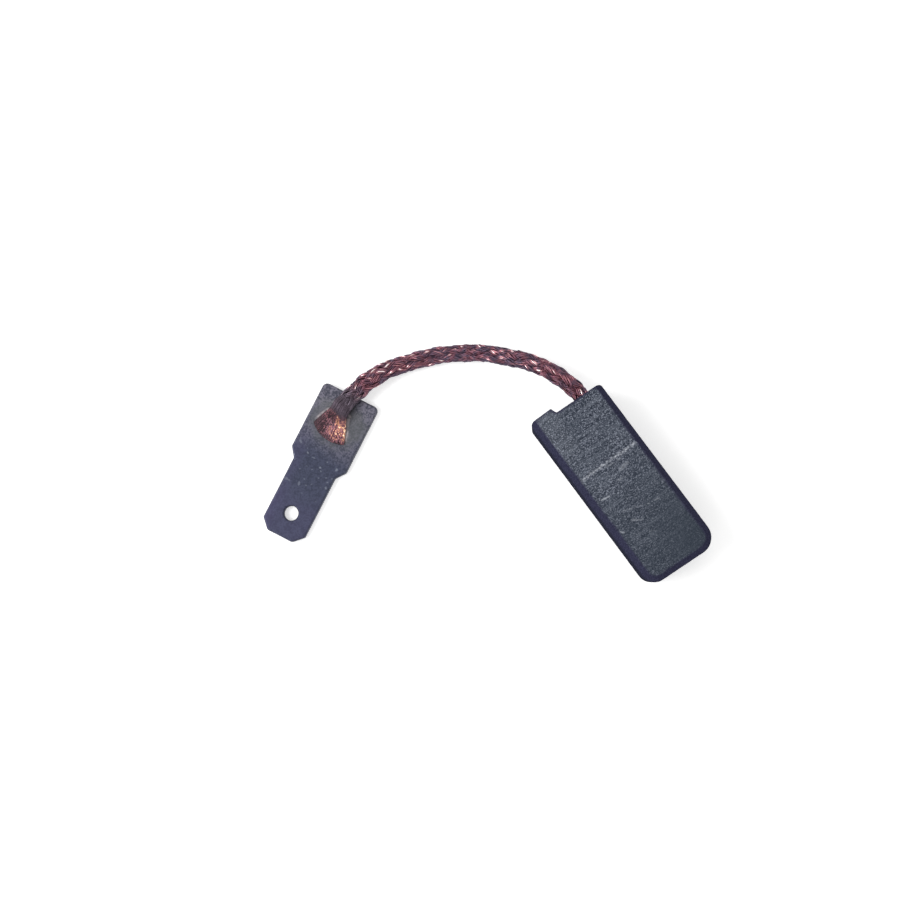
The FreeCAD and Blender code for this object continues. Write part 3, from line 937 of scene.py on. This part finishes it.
def carbon_block(material):
    """The pressed block with grain, worn edges, grinding scratches, the scribed wear mark and
    painted shade on its sides.
    """
    points, faces, normals, edges = evenly_meshed("carbon_block", 8)
    rounded = averaged(points, edges, 2)
    edge = smooth_step(0.004, 0.02, edge_sharpness(points, rounded, normals, edges))
    points = points + 0.4 * edge[:, None] * (rounded - points)
    # The head's corner on the braid's side is worn round.
    into_x = np.maximum(points[:, 0] - (block_half_width - head_wear), 0)
    into_y = np.maximum(points[:, 1] - (block_head - head_wear), 0)
    past = np.hypot(into_x, into_y) / head_wear
    shrink = np.where((into_x > 0) & (into_y > 0), 1 / np.maximum(past, 1), 1)
    points[:, 0] -= into_x * (1 - shrink)
    points[:, 1] -= into_y * (1 - shrink)
    coarse = grain(points, 0.55, 2, 5.0)
    fine = grain(points, 0.2, 1, 9.0)
    chips = smooth_step(0.25, 0.6, grain(points, 0.7, 2, 21.0))
    push = 0.006 * coarse + 0.008 * fine - 0.05 * edge * chips
    x, y = points[:, 0], points[:, 1]
    level = averaged(np.abs(normals[:, 2]), edges, 9)
    top = smooth_step(0.85, 0.97, normals[:, 2])
    mark = np.abs(y - wear_mark_y - x * wear_mark_slope)
    groove = (points[:, 2] > block_top - 0.15) * (1 - smooth_step(0.05, 0.12, mark))
    groove = groove * (1 - smooth_step(*wear_mark_ends, np.abs(x)))
    level = np.where(groove > 0, 1.0, level)
    # The ground face fades into painted shade near its sides: the band narrows towards the head and
    # widens over the spring seat.
    from_side = block_half_width - np.abs(x) + 0.06 * coarse + 0.11 * smooth_step(2.5, 6.5, y)
    fade = 0.35 + 0.6 * smooth_step(9.1, 9.8, y)
    # Flat faces are ground and paler; chamfers and walls keep the darker pressed colour, partly
    # painted shade.
    ground = smooth_step(0.76, 0.98, level + 0.05 * coarse)
    ground = ground * smooth_step(0.5, 0.5 + fade, from_side)
    # Upright walls take the darkest colour: the die's skin, darkened by painted shade.
    die_wall = 1 - smooth_step(0.15, 0.6, level)
    broken = 0.2 + 0.25 * smooth_step(-0.3, 0.3, coarse) + 1.1 * smooth_step(0.1, 0.4, fine)
    worn = 0.75 * groove * broken
    # Bright chips sit along the mark, one in each millimetre or two.
    chip = smooth_step(0.2, 0.4, grain(points, 0.3, 1, 12.0)) * (1 - smooth_step(0.1, 0.22, mark))
    chip = chip * (1 - smooth_step(2.9, 3.2, np.abs(x)))
    worn = np.maximum(worn, 0.9 * top * chip)
    smear = (1 - smooth_step(0.1, 0.4, mark)) * smooth_step(-1.2, -3.2, x)
    smear = smear * smooth_step(-0.3, 0.4, coarse + fine)
    worn = np.maximum(worn, 0.28 * top * smear)
    for start, end, width, strength in block_scratches:
        line = 1 - smooth_step(0.3 * width, width, segment_distance(x, y, start, end))
        worn = np.maximum(worn, strength * top * line * smooth_step(-0.6, 0.3, fine + coarse))
    # Handling left a faint bloom on the face by the spring seat.
    worn = np.maximum(worn, 0.045 * top * smooth_step(3.5, 6.5, y) * smooth_step(-0.6, -2.2, x))
    worn = np.maximum(worn, 0.08 * edge * chips)
    burnished = 0.8 * smooth_step(4.0, -8.5, y)
    burnished = burnished * (0.6 + 0.4 * smooth_step(-3.0, 2.5, x + 0.5 * coarse))
    # The scribed mark is shallow.
    floor = block_top - wear_mark_depth
    points[:, 2] = np.where(groove > 0, np.maximum(points[:, 2], floor), points[:, 2])
    points = points + push[:, None] * normals
    piece = new_piece("pressed_block", points, faces, material, "electrographite", "carbon_block")
    paint(piece, worn=worn, ground=ground, die_wall=die_wall, burnished=burnished)


def tamped_fill(material):
    """Copper powder tamped into the bore round the braid, lumpy at its mouth."""
    points, faces, _, _ = evenly_meshed("tamped_fill", 6)
    lumps = 0.05 * smooth_step(8.5, 8.9, points[:, 1]) * grain(points, 0.16, 2, 2.0)
    points = points + lumps[:, None] * np.array([0.0, 1.0, 0.0])
    new_piece("powder_fill", points, faces, material, "copper_powder", "tamped_fill")


def terminal_tab(material):
    """The stamped tab, slightly uneven, with worn edges and small bright specks."""
    points, faces, normals, edges = evenly_meshed("terminal_tab", 8)
    sharp = edge_sharpness(points, averaged(points, edges, 3), normals, edges)
    edge = smooth_step(0.006, 0.03, sharp)
    across, along = in_tab_frame(points)
    wave = grain(points, 2.5, 2, 1.0)
    mottle = grain(points, 0.6, 2, 8.0)
    points = points + (0.012 * wave + 0.004 * mottle)[:, None] * normals
    points[:, 2] = np.maximum(points[:, 2], 0.0)
    # The plate is paler than the blade, and palest at its end, more to one side.
    pale_end = smooth_step(10.4, 13.0, along) * (0.9 - 0.55 * smooth_step(1.4, 3.0, across))
    plate = 0.55 * smooth_step(5.8, 8.4, along + 0.8 * wave + 0.35 * mottle) + pale_end
    # The tin is tinted towards the blade's tip and towards one edge.
    tint = 0.13 * smooth_step(3.5, 0.5, along + 0.8 * wave)
    tint = tint + 0.12 * smooth_step(1.0, 2.2, -across + 0.4 * wave)
    halo = np.hypot(across / 1.3, along - fan_middle)
    stain = 0.5 * (1 - smooth_step(1.6, 3.0, halo + 0.4 * mottle))
    specks = smooth_step(0.47, 0.58, grain(points, 0.34, 1, 33.0))
    specks = specks * smooth_step(1.2, 4.6, along) * (1 - smooth_step(6.6, 7.8, along))
    # The electrode left a pale line on the plate along both sides of the fan.
    fan_sides = np.array([0.0, math.pi])
    shares = np.linspace(0.15, 0.88, 40) * cut_share(fan_sides)[:, None]
    line_across, line_along, _ = fan_surface(shares, fan_sides[:, None])
    near = (halo < 4) & (points[:, 2] > 0.7 * tab_thickness)
    gap = np.full(len(points), np.inf)
    gap[near] = np.hypot(
        across[near][:, None] - line_across.ravel(), along[near][:, None] - line_along.ravel(),
    ).min(1)
    rim = 0.9 * (1 - smooth_step(0.16, 0.4, gap)) * smooth_step(-0.6, 0.3, mottle)
    worn = 0.35 * edge * smooth_step(-0.2, 0.5, mottle) + 0.55 * specks
    piece = new_piece("stamped_tab", points, faces, material, "tinned_tab", "terminal_tab")
    paint(piece, plate=plate, tint=tint, stain=stain, worn=worn, rim=rim)
    return piece


def table_top():
    """Plain pale table under the brush."""
    material, tree, place = new_material("pale table")
    # Its tone drifts a little over every 20 mm.
    shade = add(tree, "TexNoise", {"Vector": place, "Scale": 0.05, "Detail": 3.0}).outputs["Fac"]
    colour = add(tree, "Mix", {
        FACTOR: shade, FIRST: srgb("#eeeeee"), SECOND: srgb("#f3f3f2"),
    }, data_type="RGBA").outputs[MIXED]
    shader = add(tree, "BsdfDiffuse", {"Color": colour}).outputs["BSDF"]
    seen = white_to_the_eye(tree, shader, table_glow)
    add(tree, "OutputMaterial", {"Surface": seen})
    mesh = bpy.data.meshes.new("table_top")
    corners = [(-1, -1), (1, -1), (1, 1), (-1, 1)]
    mesh.from_pydata(
        [(x * table_half * MM, y * table_half * MM, -table_gap * MM) for x, y in corners],
        [], [(0, 1, 2, 3)],
    )
    mesh.materials.append(material)
    floor = bpy.data.objects.new("table_top", mesh)
    bpy.context.collection.objects.link(floor)


def surround():
    """White surround that lights the brush softly from all sides."""
    world = bpy.data.worlds.new("studio")
    bpy.context.scene.world = world
    world.use_nodes = True
    tree = world.node_tree
    tree.nodes.clear()
    soft = add(tree, "Background", {
        "Color": (1.0, 1.0, 1.0, 1.0), "Strength": surround_light,
    }).outputs[0]
    add(tree, "OutputWorld", {"Surface": white_to_the_eye(tree, soft, surround_glow)})


def lamp(name, place, target, size, power):
    """Soft square lamp, placed and aimed in mm, with its power in watts."""
    light = bpy.data.lights.new(name, "AREA")
    light.size = size * MM
    light.energy = power
    holder = bpy.data.objects.new(name, light)
    holder.location = Vector(place) * MM
    aim = Vector(target) - Vector(place)
    holder.rotation_euler = aim.to_track_quat("-Z", "Y").to_euler()
    bpy.context.collection.objects.link(holder)


def camera():
    """Camera of the photograph's view."""
    data = bpy.data.cameras.new("camera")
    data.sensor_width = film_width
    data.lens = film_width * focal_pixels / picture_width
    data.clip_start = 0.005
    data.clip_end = 10.0
    holder = bpy.data.objects.new("camera", data)
    holder.location = Vector(camera_place) * MM
    holder.rotation_euler = camera_turn
    bpy.context.collection.objects.link(holder)
    bpy.context.scene.camera = holder


camera()
axis_points = braid_axis()
braid = shunt_braid(axis_points, copper_wire())
weld = welded_end(welded_copper())
tab = terminal_tab(tinned_brass())
carbon_block(electrographite())
tamped_fill(copper_powder())

table_top()
surround()
middle = (-10.0, 8.0, 0.0)
lamp("lamp_above", (-195.0, 130.0, 270.0), middle, 180.0, 0.68)
lamp("lamp_front", (60.0, -260.0, 180.0), middle, 200.0, 0.04)
lamp("lamp_back", (-60.0, 260.0, 150.0), middle, 200.0, 0.04)
bpy.context.scene.view_settings.view_transform = "Standard"
